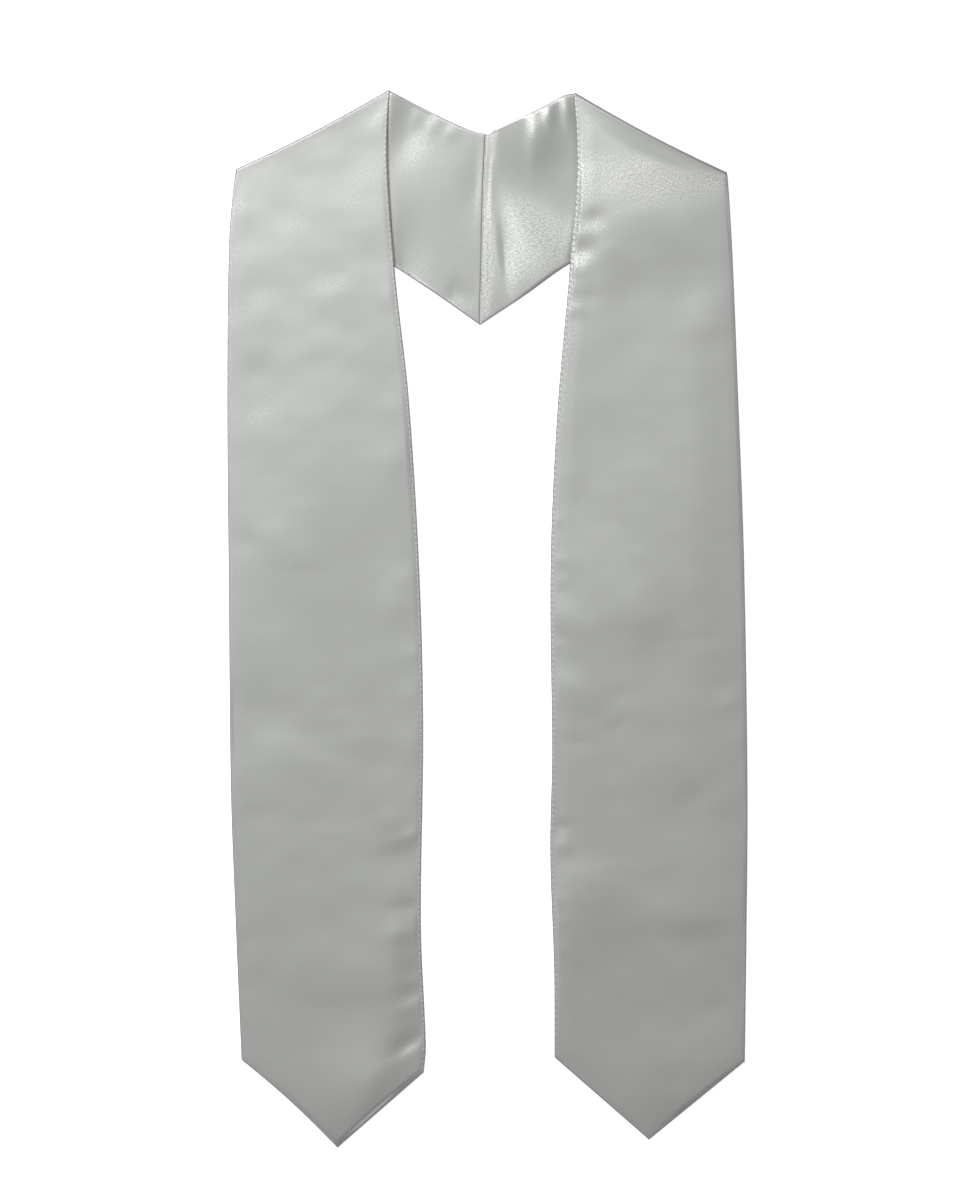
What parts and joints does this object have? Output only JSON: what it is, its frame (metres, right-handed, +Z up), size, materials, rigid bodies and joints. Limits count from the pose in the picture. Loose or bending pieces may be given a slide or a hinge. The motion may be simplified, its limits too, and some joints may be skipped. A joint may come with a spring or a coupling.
{
  "type": "graduation stole",
  "caption": "Satin graduation stole laid flat, its back folded under at the shoulders, with two long fronts that end in points and a seamed V at the back of the neck.",
  "frame": {"origin": "on the surface that the stole lies on, below the middle of its bounding box", "axes": "+Z up from the surface, +Y from the pointed ends towards the neck, +X to the right of a viewer who looks down with the neck at the top"},
  "size_m": [0.3906, 0.7942, 0.0094],
  "materials": {
    "satin_face": "silver-grey satin with a soft sheen and a fine grain",
    "satin_lining": "the same silver-grey satin, as the stole is lined with itself"
  },
  "bodies": {
    "root": {"face_left": "satin_face", "face_right": "satin_face", "lining_left": "satin_lining", "lining_right": "satin_lining"}
  },
  "joints": []
}
